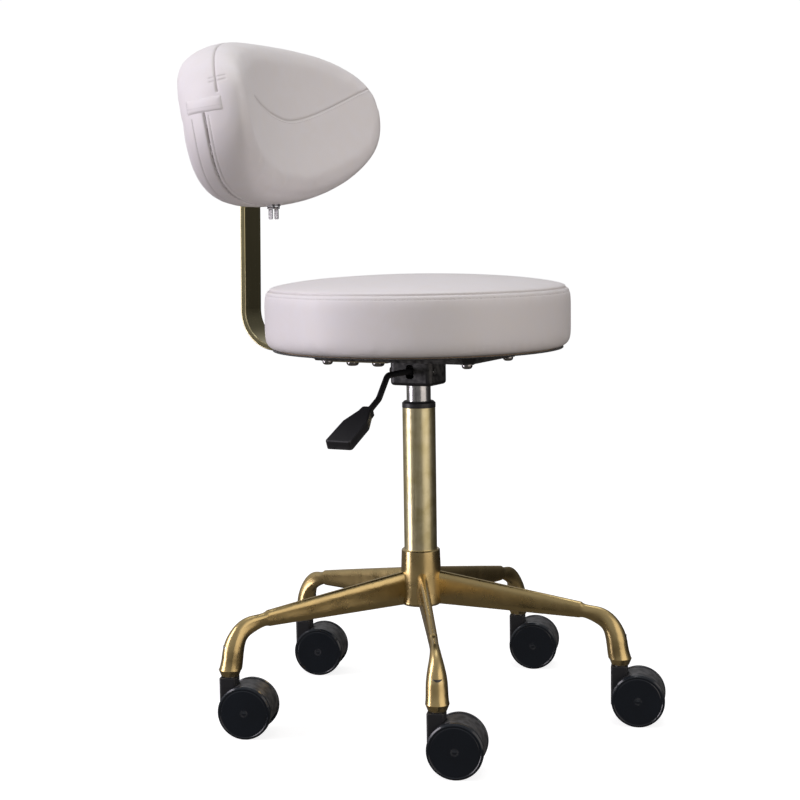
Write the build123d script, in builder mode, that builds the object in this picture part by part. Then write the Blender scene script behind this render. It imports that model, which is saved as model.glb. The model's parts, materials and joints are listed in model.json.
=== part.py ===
"""Rolling stylist stool: gas-lift stool on a five-arm star base with twin-wheel casters and a backrest.

Millimetres, +Z up, origin on the floor under the column.  The sitter faces -Y, so the
backrest is at +Y and the height lever is on the sitter's right, at -X.
"""
import os
from math import cos, radians, sin, tan

from build123d import *

os.makedirs("parts", exist_ok=True)

# ---------------------------------------------------------------- driving dimensions
arm_angles = [210.7 + 72 * k for k in range(5)]   # star arms, degrees from +X
stem_radius = 231.7                               # column axis to caster stem
foot_bottom = 62.2                                # underside of every foot
frame_rise = 4.7            # everything above the casters is drawn this much low, and saved up by it
foot_r, foot_flat_r = 12.8, 10.0
hub_bottom, hub_top = 122.0, 187.0
hub_r_bottom, hub_r_top = 24.5, 22.3

tube_r, tube_wall = 19.0, 1.5
tube_bottom, tube_top = 124.0, 352.0
bush_top, bush_bottom = 359.3, 262.0
cylinder_r, cylinder_bore_r = 14.0, 12.0
cylinder_bottom, cylinder_top = 152.0, 386.5
rod_r, rod_bottom, rod_top = 5.0, 119.0, 290.0
run = 0.05                                        # radial gap of running fits

box_x, box_y, box_bottom = 44.0, 54.0, 378.0
plate_x, plate_y = 142.4, 198.0                   # flat floor of the seat plate
plate_bottom, plate_sheet, plate_top = 409.0, 2.5, 420.0
plate_flare = 30.0                                # degrees, outward lean of the plate rim

seat_r, seat_bottom, seat_side_top, seat_crown = 174.8, 421.0, 494.8, 8.6
seat_top_edge, seat_bottom_edge = 14.0, 11.5      # edge radii of the cushion
board_r, board_t = 160.0, 12.0

bar_w, bar_t = 36.0, 6.5
bar_bolt_y = (52.0, 86.0)

back_w, back_h, back_t = 335.0, 188.5, 86.0
back_y, back_z = 204.5, 679.0                     # middle of the back cushion
back_tilt, back_wrap = 10.0, 41.0                 # degrees leaned back, ends forward
back_dish, board_thick = 0.28, 8.85               # front panel flattened in its middle; inner board

lever_pivot = (-14.0, 395.0)                      # x, z
lever_rod_r = 3.5

caster_angle = -72.0                              # all five trail this way
trail, wheel_r, caster_half = 20.5, 30.0, 23.5
wheel_inner, flange_inner, drum_r = 6.6, 17.0, 26.4
hood_r, hood_half, web_half = 29.2, 16.6, 6.2
axle_r = 3.0
hood_top = foot_bottom + frame_rise - 1.2


def save(block, label, rise=frame_rise):
    """Label a finished sub-part, lift it to its height on the casters and write its STEP file."""
    block.part.label = label
    lifted = block.part.moved(Location((0, 0, rise)))
    lifted.label = label
    export_step(lifted, f"parts/{label}.step")


def rounded_section(half_w, half_h, power, steps=12):
    """Points of a closed superellipse, half_w along x and half_h along y."""
    points = []
    for k in range(steps):
        c, s = cos(radians(360 * (k + 0.5) / steps)), sin(radians(360 * (k + 0.5) / steps))
        points.append((
            half_w * abs(c) ** (2 / power) * (1 if c > 0 else -1),
            half_h * abs(s) ** (2 / power) * (1 if s > 0 else -1),
        ))
    return points


# ================================================================ star base
# One cast arm along +X: sections square to its own path, from the hub out and down the leg.
# Each row: radius, height, path angle, half height, half width, squareness.
arm_rows = [
    (12.0, 143.2, 0, 20.0, 6.4, 3.0),
    (70.0, 136.4, -7, 16.3, 5.7, 3.0),
    (130.0, 129.4, -7, 12.7, 5.2, 2.8),
    (186.0, 122.8, -7, 9.2, 4.9, 2.6),
    (203.5, 118.6, -25, 9.2, 5.1, 2.4),
    (216.6, 111.4, -50, 10.2, 7.2, 2.2),
    (223.6, 102.0, -74, 11.0, 9.7, 2.0),
    (227.8, 87.0, -80, 12.0, 11.6, 2.0),
    (231.3, 69.0, -90, foot_r, foot_r, 2.0),
]
with BuildPart() as arm:
    for stretch in (arm_rows[:4], arm_rows[3:]):      # the straight part, then the bend and leg
        for r, z, angle, half_h, half_w, power in stretch:
            a = radians(angle)
            with BuildSketch(Plane(origin=(r, 0, z), x_dir=(0, 1, 0), z_dir=(cos(a), 0, sin(a)))):
                with BuildLine():
                    Spline(*rounded_section(half_w, half_h, power), periodic=True)
                make_face()
        loft()

with BuildPart() as foot_end:
    with BuildSketch(Plane.XY.offset(foot_bottom)):
        Circle(foot_flat_r)
    with BuildSketch(Plane.XY.offset(69.2)):
        Circle(foot_r)
    loft()

# Hub, five arms and five feet are one casting; the hub is bored for the column tube and
# every foot for its stem socket.
with BuildPart() as star_base:
    with BuildSketch(Plane.XZ):
        with BuildLine():
            Polyline(
                (0, hub_bottom), (hub_r_bottom - 3, hub_bottom), (hub_r_bottom, hub_bottom + 3),
                (hub_r_top, hub_top - 1.2), (hub_r_top - 1.2, hub_top), (0, hub_top), close=True)
        make_face()
    revolve(axis=Axis.Z)
    with PolarLocations(0, 5, start_angle=arm_angles[0]):
        add(arm.part)
    with PolarLocations(stem_radius, 5, start_angle=arm_angles[0]):
        add(foot_end.part)
    with BuildSketch(Plane.XY.offset(tube_bottom)):
        Circle(tube_r)
    extrude(amount=100, mode=Mode.SUBTRACT)
    with BuildSketch(Plane.XY.offset(hub_bottom - 1)):
        Circle(15)
    extrude(amount=10, mode=Mode.SUBTRACT)
    with BuildSketch(Plane.XY.offset(foot_bottom - 1)):
        with PolarLocations(stem_radius, 5, start_angle=arm_angles[0]):
            Circle(7.0)
    extrude(amount=35, mode=Mode.SUBTRACT)
save(star_base, "star_base")

# Five steel sockets pressed into the feet, each with the thin bright ring under the foot.
with BuildPart() as stem_sockets:
    with BuildSketch(Plane.XY.offset(foot_bottom)):
        with PolarLocations(stem_radius, 5, start_angle=arm_angles[0]):
            Circle(7.0)
    extrude(amount=34)
    with BuildSketch(Plane.XY.offset(foot_bottom - 0.7)):
        with PolarLocations(stem_radius, 5, start_angle=arm_angles[0]):
            Circle(8.2)
    extrude(amount=0.7)
    with BuildSketch(Plane.XY.offset(foot_bottom - 1)):
        with PolarLocations(stem_radius, 5, start_angle=arm_angles[0]):
            Circle(5.5 + run)
    extrude(amount=32, mode=Mode.SUBTRACT)
save(stem_sockets, "stem_sockets")

# ================================================================ column
with BuildPart() as column_tube:
    with BuildSketch(Plane.XY.offset(tube_bottom)):
        Circle(tube_r)
        Circle(tube_r - tube_wall, mode=Mode.SUBTRACT)
    extrude(amount=tube_top - tube_bottom)
save(column_tube, "column_tube")

# Plastic guide bush: a long sleeve inside the tube and a collar with a chamfered lip on top.
with BuildPart() as column_bush:
    with BuildSketch(Plane.XZ):
        with BuildLine():
            Polyline(
                (cylinder_r + run, bush_bottom), (tube_r - tube_wall, bush_bottom),
                (tube_r - tube_wall, tube_top), (tube_r + 0.3, tube_top),
                (tube_r + 0.3, bush_top - 2.2), (tube_r - 2.0, bush_top),
                (cylinder_r + run, bush_top), close=True)
        make_face()
    revolve(axis=Axis.Z)
save(column_bush, "column_bush")

# Steel cup closing the bottom of the tube; the piston rod passes through it.
with BuildPart() as column_cup:
    with BuildSketch(Plane.XY.offset(tube_bottom)):
        Circle(tube_r - tube_wall)
        Circle(rod_r + run, mode=Mode.SUBTRACT)
    extrude(amount=6)
save(column_cup, "column_cup")

with BuildPart() as thrust_bearing:
    with BuildSketch(Plane.XY.offset(tube_bottom + 6)):
        Circle(11)
        Circle(rod_r + 0.5, mode=Mode.SUBTRACT)
    extrude(amount=4)
    with BuildSketch(Plane.XY.offset(tube_bottom + 7.2)):
        Circle(12)
        Circle(11, mode=Mode.SUBTRACT)
    extrude(amount=1.6)
save(thrust_bearing, "thrust_bearing")

# ================================================================ piston rod, turning on the thrust bearing
with BuildPart() as piston_rod:
    with BuildSketch(Plane.XY.offset(rod_bottom)):
        Circle(rod_r)
    extrude(amount=rod_top - rod_bottom)
    with BuildSketch(Plane.XY.offset(134.05)):
        Circle(10)
    extrude(amount=3)
    with BuildSketch(Plane.XY.offset(122.3)):
        Circle(rod_r)
        Circle(rod_r - 0.8, mode=Mode.SUBTRACT)
    extrude(amount=1.4, mode=Mode.SUBTRACT)
    chamfer(piston_rod.edges().group_by(Axis.Z)[0], 0.8)
save(piston_rod, "piston_rod")

with BuildPart() as retaining_clip:
    with BuildSketch(Plane.XY.offset(122.35)):
        Circle(9)
        Circle(rod_r - 0.8, mode=Mode.SUBTRACT)
        with Locations((0, -7)):
            Rectangle(5, 8, mode=Mode.SUBTRACT)
    extrude(amount=1.3)
save(retaining_clip, "retaining_clip")

with BuildPart() as bump_stop:
    with BuildSketch(Plane.XY.offset(137.05)):
        Circle(11)
        Circle(rod_r, mode=Mode.SUBTRACT)
    extrude(amount=13)
    fillet(bump_stop.edges().group_by(Axis.Z)[-1], 1.5)
save(bump_stop, "bump_stop")

with BuildPart() as piston_head:
    with BuildSketch(Plane.XY.offset(rod_top - 12)):
        Circle(cylinder_bore_r - 0.08)
        Circle(rod_r, mode=Mode.SUBTRACT)
    extrude(amount=12)
save(piston_head, "piston_head")

# ================================================================ gas cylinder
with BuildPart() as gas_cylinder:
    with BuildSketch(Plane.XY.offset(cylinder_bottom)):
        Circle(cylinder_r)
    extrude(amount=cylinder_top - cylinder_bottom)
    chamfer(gas_cylinder.edges().group_by(Axis.Z)[0], 1.0)
    with BuildSketch(Plane.XY.offset(cylinder_bottom + 6)):
        Circle(cylinder_bore_r)
    extrude(amount=194, mode=Mode.SUBTRACT)
    with BuildSketch(Plane.XY.offset(cylinder_bottom - 1)):
        Circle(rod_r + run)
    extrude(amount=10, mode=Mode.SUBTRACT)
    with BuildSketch(Plane.XY.offset(351)):
        Circle(3.0 + run)
    extrude(amount=40, mode=Mode.SUBTRACT)
save(gas_cylinder, "gas_cylinder")

# Valve pin in the top of the cylinder, pushed down by the lever.
with BuildPart() as release_pin:
    with BuildSketch(Plane.XY.offset(362)):
        Circle(3.0)
    extrude(amount=29.2)
    fillet(release_pin.edges().group_by(Axis.Z)[-1], 1.0)
save(release_pin, "release_pin")

# ================================================================ seat mechanism
with BuildPart() as mechanism_box:
    with BuildSketch(Plane.XY.offset(box_bottom)):
        RectangleRounded(box_x, box_y, 7)
    extrude(amount=plate_bottom - box_bottom)
    fillet(mechanism_box.edges().group_by(Axis.Z)[0], 4)
    with BuildSketch(Plane.XY.offset(box_bottom + 2.5)):
        RectangleRounded(box_x - 5, box_y - 5, 4.5)
    extrude(amount=40, mode=Mode.SUBTRACT)
    with BuildSketch(Plane.XY.offset(box_bottom - 1)):
        Circle(16.5)
    extrude(amount=5, mode=Mode.SUBTRACT)
    with BuildSketch(Plane.YZ.offset(-box_x / 2 - 1)):
        with Locations((0, lever_pivot[1] - 1)):
            RectangleRounded(10, 16, 3)
    extrude(amount=5, mode=Mode.SUBTRACT)
    with BuildSketch(Plane.XZ.offset(-40)):
        with Locations(lever_pivot):
            Circle(2.0)
    extrude(amount=80, mode=Mode.SUBTRACT)
save(mechanism_box, "mechanism_box")

# Sleeve welded in the floor of the box; the top of the cylinder is wedged in it.
with BuildPart() as taper_socket:
    with BuildSketch(Plane.XY.offset(box_bottom - 0.6)):
        Circle(16.5)
        Circle(cylinder_r, mode=Mode.SUBTRACT)
    extrude(amount=9.1)
save(taper_socket, "taper_socket")

# Pivot rivet of the lever, right through the box, with a low head at each side.
with BuildPart() as lever_pin:
    with BuildSketch(Plane.XZ.offset(-box_y / 2)):
        with Locations(lever_pivot):
            Circle(2.0)
    extrude(amount=box_y)
    for y, out in ((box_y / 2, -1), (-box_y / 2, 1)):
        with BuildSketch(Plane.XZ.offset(-y)):
            with Locations(lever_pivot):
                Circle(3.4)
        extrude(amount=out * 1.4)
save(lever_pin, "lever_pin")

# Pressed steel tray: flat floor and a rim flaring out up to the seat.
with BuildPart() as seat_plate:
    with BuildSketch(Plane.XY.offset(plate_bottom)):
        RectangleRounded(plate_x, plate_y, 9)
    extrude(amount=plate_top - plate_bottom, taper=-plate_flare)
    with BuildSketch(Plane.XY.offset(plate_bottom + plate_sheet)):
        RectangleRounded(plate_x - 2.4, plate_y - 2.4, 8)
    extrude(amount=20, taper=-plate_flare, mode=Mode.SUBTRACT)
    with BuildSketch(Plane.XY.offset(plate_bottom)):
        for x in (-44, 44):
            with Locations((x, 0)):
                SlotOverall(120, 16, rotation=90)
    extrude(amount=5.5)
    with BuildSketch(Plane.XY.offset(plate_bottom - 1)):
        for x in (-44, 44):
            with Locations((x, 0)):
                SlotOverall(115, 11, rotation=90)
    extrude(amount=4, mode=Mode.SUBTRACT)
    with BuildSketch(Plane.XY.offset(plate_bottom - 1)):
        with GridLocations(110, 176, 2, 2):
            Circle(3.0)
        with Locations(*[(0, y) for y in bar_bolt_y]):
            Circle(4.0)
    extrude(amount=20, mode=Mode.SUBTRACT)
save(seat_plate, "seat_plate")

# Four domed screws holding the plate to the seat board.
with BuildPart() as plate_screws:
    with BuildSketch(Plane.XY.offset(plate_bottom - 1.2)):
        with GridLocations(110, 176, 2, 2):
            Circle(8.0)
    extrude(amount=1.2)
    with BuildSketch(Plane.XY.offset(plate_bottom - 6)):
        with GridLocations(110, 176, 2, 2):
            Circle(6.0)
    extrude(amount=5)
    fillet(plate_screws.edges().group_by(Axis.Z)[0], 3.6)
    with BuildSketch(Plane.XY.offset(plate_bottom - 6.5)):
        with GridLocations(110, 176, 2, 2):
            RegularPolygon(2.3, 6)
    extrude(amount=3.0, mode=Mode.SUBTRACT)
    with BuildSketch(Plane.XY.offset(plate_bottom)):
        with GridLocations(110, 176, 2, 2):
            Circle(3.0)
    extrude(amount=22)
save(plate_screws, "plate_screws")

# ================================================================ back bar
# Flat bar: under the plate, gently up behind it, round a large bend, up into the backrest and
# leaned back inside it.
bar_rise, bar_lean = 8.0, 1.1
bar_mid = plate_bottom - bar_t / 2
with BuildPart() as back_bar:
    with BuildLine(Plane.YZ):
        p1 = Line((32, bar_mid), (103, bar_mid))
        p2 = JernArc(p1 @ 1, p1 % 1, 40, bar_rise)
        p3 = Line(p2 @ 1, p2 @ 1 + (p2 % 1) * 79)
        p4 = JernArc(p3 @ 1, p3 % 1, 44, 90 + bar_lean - bar_rise)
        p5 = Line(p4 @ 1, p4 @ 1 + (p4 % 1) * 142)
        p6 = JernArc(p5 @ 1, p5 % 1, 60, -(bar_lean + back_tilt))
        Line(p6 @ 1, p6 @ 1 + (p6 % 1) * 92)
    with BuildSketch(Plane(origin=(0, 32, bar_mid), x_dir=(1, 0, 0), z_dir=(0, 1, 0))):
        RectangleRounded(bar_w, bar_t, 1.1)
    sweep()
    with BuildSketch(Plane.XY.offset(plate_bottom - 20)):
        with Locations(*[(0, y) for y in bar_bolt_y]):
            Circle(4.0)
    extrude(amount=25, mode=Mode.SUBTRACT)

# Back frame: lateral +X, up along the backrest, origin in the middle of the cushion.
t_back = radians(back_tilt)
back_plane = Plane(origin=(0, back_y, back_z), x_dir=(1, 0, 0), z_dir=(0, -cos(t_back), sin(t_back)))
bar_depth = -back_plane.to_local_coords(p6 @ 1).Z   # middle of the bar behind the middle of the cushion
board_front = bar_depth - bar_t / 2 - 9
with BuildPart() as back_board:
    with BuildSketch(back_plane.offset(-board_front)):
        RectangleRounded(150, 104, 24)
    extrude(amount=-board_thick)
    with BuildSketch(back_plane):
        with Locations((0, -24), (0, 14)):
            Circle(4.0)
    extrude(amount=-60, mode=Mode.SUBTRACT)

# Two bolts clamp the board to the bar.
with BuildPart() as back_bolts:
    with BuildSketch(back_plane.offset(-board_front + 2)):
        with Locations((0, -24), (0, 14)):
            Circle(4.0)
    extrude(amount=-(2 + 9 + bar_t + 1))
    with BuildSketch(back_plane.offset(-bar_depth - bar_t / 2)):
        with Locations((0, -24), (0, 14)):
            Circle(7.0)
    extrude(amount=-4)
    with BuildSketch(back_plane.offset(-board_front)):
        with Locations((0, -24), (0, 14)):
            Circle(9.0)
            Circle(4.0, mode=Mode.SUBTRACT)
    extrude(amount=2)
save(back_bolts, "back_bolts")

with BuildPart() as back_bar_drilled:
    add(back_bar.part)
    with BuildSketch(back_plane):
        with Locations((0, -24), (0, 14)):
            Circle(4.0)
    extrude(amount=-60, mode=Mode.SUBTRACT)
save(back_bar_drilled, "back_bar")
save(back_board, "back_board")

# Two dome-headed bolts clamp the bar under the plate, with nuts inside the tray.
with BuildPart() as bar_bolts:
    with BuildSketch(Plane.XY.offset(plate_bottom - bar_t - 5.5)):
        with Locations(*[(0, y) for y in bar_bolt_y]):
            Circle(7.5)
    extrude(amount=5.5)
    fillet(bar_bolts.edges().group_by(Axis.Z)[0], 4.2)
    with BuildSketch(Plane.XY.offset(plate_bottom - bar_t - 6)):
        with Locations(*[(0, y) for y in bar_bolt_y]):
            RegularPolygon(2.9, 6)
    extrude(amount=3.2, mode=Mode.SUBTRACT)
    with BuildSketch(Plane.XY.offset(plate_bottom - bar_t)):
        with Locations(*[(0, y) for y in bar_bolt_y]):
            Circle(4.0)
    extrude(amount=bar_t + plate_sheet + 6)
    with BuildSketch(Plane.XY.offset(plate_bottom + plate_sheet)):
        with Locations(*[(0, y) for y in bar_bolt_y]):
            RegularPolygon(7.5, 6)
    extrude(amount=5.5)
save(bar_bolts, "bar_bolts")

# ================================================================ seat
with BuildPart() as seat_board:
    with BuildSketch(Plane.XY.offset(seat_bottom)):
        Circle(board_r)
    extrude(amount=board_t)
    with BuildSketch(Plane.XY.offset(seat_bottom)):
        with GridLocations(110, 176, 2, 2):
            Circle(3.0)
    extrude(amount=10, mode=Mode.SUBTRACT)
save(seat_board, "seat_board")

# Thin black cloth stapled under the board.
with BuildPart() as dust_cover:
    with BuildSketch(Plane.XY.offset(plate_top)):
        Circle(board_r + 6)
        with GridLocations(110, 176, 2, 2):
            Circle(3.0, mode=Mode.SUBTRACT)
    extrude(amount=seat_bottom - plate_top)
save(dust_cover, "dust_cover")

# Round foam cushion with its cover, wrapped over the edge of the board.
with BuildPart() as seat_cushion:
    with BuildSketch(Plane.XZ):
        with BuildLine():
            c1 = Line((0, seat_bottom), (seat_r - seat_bottom_edge, seat_bottom))
            c2 = JernArc(c1 @ 1, (1, 0), seat_bottom_edge, 90)
            c3 = Line(c2 @ 1, (seat_r, seat_side_top - seat_top_edge))
            c4 = JernArc(c3 @ 1, (0, 1), seat_top_edge, 84)
            c5 = Spline(c4 @ 1, (seat_r * 0.5, seat_side_top + seat_crown * 0.78),
                        (0, seat_side_top + seat_crown), tangents=(c4 % 1, (-1, 0)))
            Line(c5 @ 1, (0, seat_bottom))
        make_face()
    revolve(axis=Axis.Z)
    with BuildSketch(Plane.XY.offset(seat_bottom - 1)):
        Circle(board_r)
    extrude(amount=board_t + 1, mode=Mode.SUBTRACT)
save(seat_cushion, "seat_cushion")

# ================================================================ backrest cushion
# Wide pillow, sections square to the left-right axis; its ends come forward round the sitter.
half_w = back_w / 2
with BuildPart() as back_cushion:
    stations = [-0.995, -0.975, -0.93, -0.8, -0.5, 0, 0.5, 0.8, 0.93, 0.975, 0.995]
    for stretch in (stations[:6], stations[5:]):
        for k in stretch:
            thick = back_t / 2 * (1 - abs(k) ** 16) ** 0.5
            height = back_h / 2 * (1 - abs(k) ** 2.45) ** (1 / 2.45)
            shift = -back_wrap * k * k
            front_share = 1 - back_dish * (1 - k * k)     # the front panel is flatter than the back
            origin = (half_w * k, back_y + shift * cos(t_back), back_z - shift * sin(t_back))
            with BuildSketch(Plane(origin=origin, x_dir=(0, cos(t_back), -sin(t_back)), z_dir=(1, 0, 0))):
                with BuildLine():
                    Spline(*[(x * front_share if x < 0 else x, y)
                             for x, y in rounded_section(thick, height, 3.2)], periodic=True)
                make_face()
        loft()
    add(back_bar.part, mode=Mode.SUBTRACT)
    add(back_board.part, mode=Mode.SUBTRACT)
    add(back_bolts.part, mode=Mode.SUBTRACT)
    with BuildSketch(Plane.XY.offset(560)):
        with Locations((-6.5, 190), (6.5, 190)):
            Rectangle(6, 8)
    extrude(amount=27.6, mode=Mode.SUBTRACT)
save(back_cushion, "back_cushion")

# Zip sliders under the backrest, each with a bridge pin, and a pull tab hanging from each.
pull_x, pull_y, pull_z = 6.5, 190.0, 581.9
with BuildPart() as zip_sliders:
    with BuildSketch(Plane.XY.offset(pull_z + 2.1)):
        with Locations((-pull_x, pull_y), (pull_x, pull_y)):
            Rectangle(6, 8)
    extrude(amount=3.6)
    with BuildSketch(Plane.XY.offset(pull_z - 1.1)):
        with Locations(*[(sx * pull_x, pull_y + sy * 3.5) for sx in (-1, 1) for sy in (-1, 1)]):
            Rectangle(2.6, 1.0)
    extrude(amount=3.2)
    with BuildSketch(Plane.XZ.offset(-(pull_y - 3.2))):
        with Locations((-pull_x, pull_z), (pull_x, pull_z)):
            Circle(0.75)
    extrude(amount=-6.4)
save(zip_sliders, "zip_sliders")

for side, name in ((-1, "zip_pull_right"), (1, "zip_pull_left")):
    with BuildPart() as zip_pull:
        with BuildSketch(Plane.XZ.offset(-(pull_y - 2.6))):
            with Locations((side * pull_x, pull_z)):
                Circle(1.6)
        extrude(amount=-5.2)
        with BuildSketch(Plane.YZ.offset(side * pull_x - 0.8)):
            with Locations((pull_y, pull_z - 7.2)):
                RectangleRounded(5.2, 12.6, 1.6)
            with Locations((pull_y, pull_z - 11)):
                Circle(0.9, mode=Mode.SUBTRACT)
        extrude(amount=1.6)
        with BuildSketch(Plane.XZ.offset(-(pull_y - 3))):
            with Locations((side * pull_x, pull_z)):
                Circle(0.75 + run)
        extrude(amount=-6, mode=Mode.SUBTRACT)
    save(zip_pull, name)

# ================================================================ height lever
px, pz = lever_pivot
with BuildPart() as lever_rod:
    with BuildLine(Plane.XZ):
        FilletPolyline((1.5, pz), (-75.5, pz), (-96.6, 371.1), (-140.0, 350.4), radius=11)
    with BuildSketch(Plane(origin=(1.5, 0, pz), z_dir=(-1, 0, 0))):
        Circle(lever_rod_r)
    sweep()
    with BuildSketch(Plane.XZ.offset(-5)):
        with Locations((px, pz)):
            Circle(5.5)
    extrude(amount=10)
    with BuildSketch(Plane.XZ.offset(-6)):
        with Locations((px, pz)):
            Circle(2.0 + run)
    extrude(amount=12, mode=Mode.SUBTRACT)
save(lever_rod, "lever_rod")

# Flat moulded paddle on the end of the rod, narrow at the neck.
paddle_slope = radians(23.7)
paddle = Plane(origin=(-120, 0, 361.4), x_dir=(-cos(paddle_slope), 0, -sin(paddle_slope)),
               z_dir=(-sin(paddle_slope), 0, cos(paddle_slope)))
with BuildPart() as lever_paddle:
    with BuildSketch(paddle.offset(-5.2)):
        with BuildLine():
            Polyline((0, -6.5), (10, -7.5), (32, -15), (75, -15.5), (75, 15.5), (32, 15),
                     (10, 7.5), (0, 6.5), close=True)
        make_face()
        fillet(vertices(), 3)
    extrude(amount=10.4)
    fillet(lever_paddle.faces().sort_by(SortBy.AREA)[-1].edges(), 1.6)
    add(lever_rod.part, mode=Mode.SUBTRACT)
save(lever_paddle, "lever_paddle")

# ================================================================ casters
# One caster at the origin, stem at x = 0 and trailing along +X, then placed five times.
axle_place = (trail, wheel_r)
with BuildPart() as caster_hood:
    with BuildSketch(Plane.XZ.offset(-hood_half)):
        with Locations(axle_place):
            Circle(hood_r)
        with Locations((trail, 6)):
            Rectangle(80, 32, mode=Mode.SUBTRACT)
    extrude(amount=2 * hood_half)
    for side in (-1, 1):
        with BuildSketch(Plane.XZ.offset(side * (web_half + 30))):
            with Locations(axle_place):
                Circle(drum_r + 0.7)
        extrude(amount=-side * 30, mode=Mode.SUBTRACT)
    with BuildSketch(Plane.XZ.offset(-web_half)):
        with Locations(axle_place):
            Circle(23)
        with Locations((trail - 14, 38)):
            Rectangle(20, 30)
    extrude(amount=2 * web_half)
    with BuildSketch(Plane.XY.offset(22)):
        with Locations((-1, 0)):
            RectangleRounded(19, 21, 3)
    extrude(amount=hood_top - 22)
    fillet(caster_hood.edges().group_by(Axis.Z)[-1], 0.8)
    for side in (-1, 1):
        with BuildSketch(Plane.XZ.offset(side * (web_half + 30))):
            with Locations(axle_place):
                Circle(drum_r + 0.7)
        extrude(amount=-side * 30, mode=Mode.SUBTRACT)
        with BuildSketch(Plane.XZ.offset(side * (hood_half + 10))):
            with Locations(axle_place):
                Circle(wheel_r + 0.6)
        extrude(amount=-side * 10, mode=Mode.SUBTRACT)
    with BuildSketch(Plane.XZ.offset(-30)):
        with Locations(axle_place):
            Circle(axle_r)
    extrude(amount=60, mode=Mode.SUBTRACT)
    with BuildSketch(Plane.XY.offset(36)):
        Circle(4.5)
    extrude(amount=40, mode=Mode.SUBTRACT)

# Steel stem: a plain lower end in the hood, a thrust collar, and the grip ring near its top.
with BuildPart() as caster_stem:
    with BuildSketch(Plane.XZ):
        with BuildLine():
            Polyline((0, 36), (4.5, 36), (4.5, hood_top), (7, hood_top), (7, hood_top + 0.4),
                     (5.5, hood_top + 0.4), (5.5, hood_top + 25), (4.6, hood_top + 25),
                     (4.6, hood_top + 26.5), (5.5, hood_top + 26.5), (5.5, hood_top + 30),
                     (4.2, hood_top + 31.5), (0, hood_top + 31.5), close=True)
        make_face()
    revolve(axis=Axis.Z)

with BuildPart() as caster_axle:
    with BuildSketch(Plane.XZ.offset(-21)):
        with Locations(axle_place):
            Circle(axle_r)
    extrude(amount=42)

# One wheel on the +Y side: narrow drum inside the hood, full-size tread and a shallow dished face.
with BuildPart() as caster_wheel:
    with BuildSketch(Plane.XY):
        with BuildLine():
            Polyline(
                (axle_r + run, wheel_inner), (drum_r, wheel_inner), (drum_r, flange_inner),
                (wheel_r - 0.8, flange_inner), (wheel_r, flange_inner + 0.8), (wheel_r, caster_half - 1.8),
                (wheel_r - 1.6, caster_half - 0.2), (wheel_r - 2.6, caster_half),
                (wheel_r - 3.2, caster_half - 0.5), (wheel_r - 4.2, caster_half - 0.5),
                (wheel_r - 5.0, caster_half - 0.2), (0, caster_half + 0.0), (0, 21.2),
                (axle_r + run, 21.2), close=True)
        make_face()
    revolve(axis=Axis.Y)

for k, arm_angle in enumerate(arm_angles):
    a = radians(arm_angle)
    place = Location((stem_radius * cos(a), stem_radius * sin(a), 0), (0, 0, caster_angle))
    n = k + 1
    with BuildPart() as hood_k:
        with Locations(place):
            add(caster_hood.part)
    save(hood_k, f"caster_{n}_hood", rise=0)
    with BuildPart() as stem_k:
        with Locations(place):
            add(caster_stem.part)
    save(stem_k, f"caster_{n}_stem", rise=0)
    with BuildPart() as axle_k:
        with Locations(place):
            add(caster_axle.part)
    save(axle_k, f"caster_{n}_axle", rise=0)
    for side, turn in (("a", 0), ("b", 180)):
        with BuildPart() as wheel_k:
            with Locations(place * Location((trail, 0, wheel_r), (0, 0, turn))):
                add(caster_wheel.part)
        save(wheel_k, f"caster_{n}_wheel_{side}", rise=0)
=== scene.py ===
# %% [markdown]
# # A rolling stylist stool
#
# A hairdresser's stool has few parts, and every one is touched all day: a round padded seat,
# a padded backrest on a bent flat bar, a gas lift with its lever, and a cast star on casters.
# The hard parts come from CAD and stay exactly where CAD puts them. This lesson gives them
# their finishes, then makes the soft parts, which CAD can only hold as plain blocks: two
# sewn covers over foam, with their seams, stitches and zip.

# %% Load the frame
import json
from math import cos, pi, radians, sin, sqrt

import bmesh
import bpy
from mathutils import Matrix, Vector
from mathutils.bvhtree import BVHTree
from mathutils.kdtree import KDTree


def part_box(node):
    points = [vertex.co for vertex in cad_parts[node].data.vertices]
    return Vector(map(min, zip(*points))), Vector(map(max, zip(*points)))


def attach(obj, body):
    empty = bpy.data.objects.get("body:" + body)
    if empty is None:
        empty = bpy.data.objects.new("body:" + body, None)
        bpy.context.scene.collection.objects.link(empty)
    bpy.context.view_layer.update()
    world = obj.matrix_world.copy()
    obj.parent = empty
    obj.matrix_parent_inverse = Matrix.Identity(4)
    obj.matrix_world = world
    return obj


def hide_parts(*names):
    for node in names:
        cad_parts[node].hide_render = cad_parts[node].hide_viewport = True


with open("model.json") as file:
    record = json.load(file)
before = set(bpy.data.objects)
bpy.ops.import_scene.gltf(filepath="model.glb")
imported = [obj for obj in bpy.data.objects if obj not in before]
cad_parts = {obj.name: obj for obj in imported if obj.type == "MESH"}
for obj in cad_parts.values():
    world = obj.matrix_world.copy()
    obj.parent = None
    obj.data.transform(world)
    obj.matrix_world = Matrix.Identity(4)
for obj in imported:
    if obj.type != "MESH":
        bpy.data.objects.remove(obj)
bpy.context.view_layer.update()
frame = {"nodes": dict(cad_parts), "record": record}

scene = bpy.context.scene

# %% [markdown]
# ## The camera
#
# The stool is seen from its sitter's right and front, from a little above seat height, with a
# long lens that keeps the column straight. A camera looks along its own -Z, with +Y up the
# picture. Rather than aiming it with a Track To constraint, its three axes are worked out from
# four plain angles, because the camera also leans a touch sideways and a tracker can't.

# %% Place the camera
view_from, look_down, lean, look_aside = -63.0, 6.26, 0.85, -0.63

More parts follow.
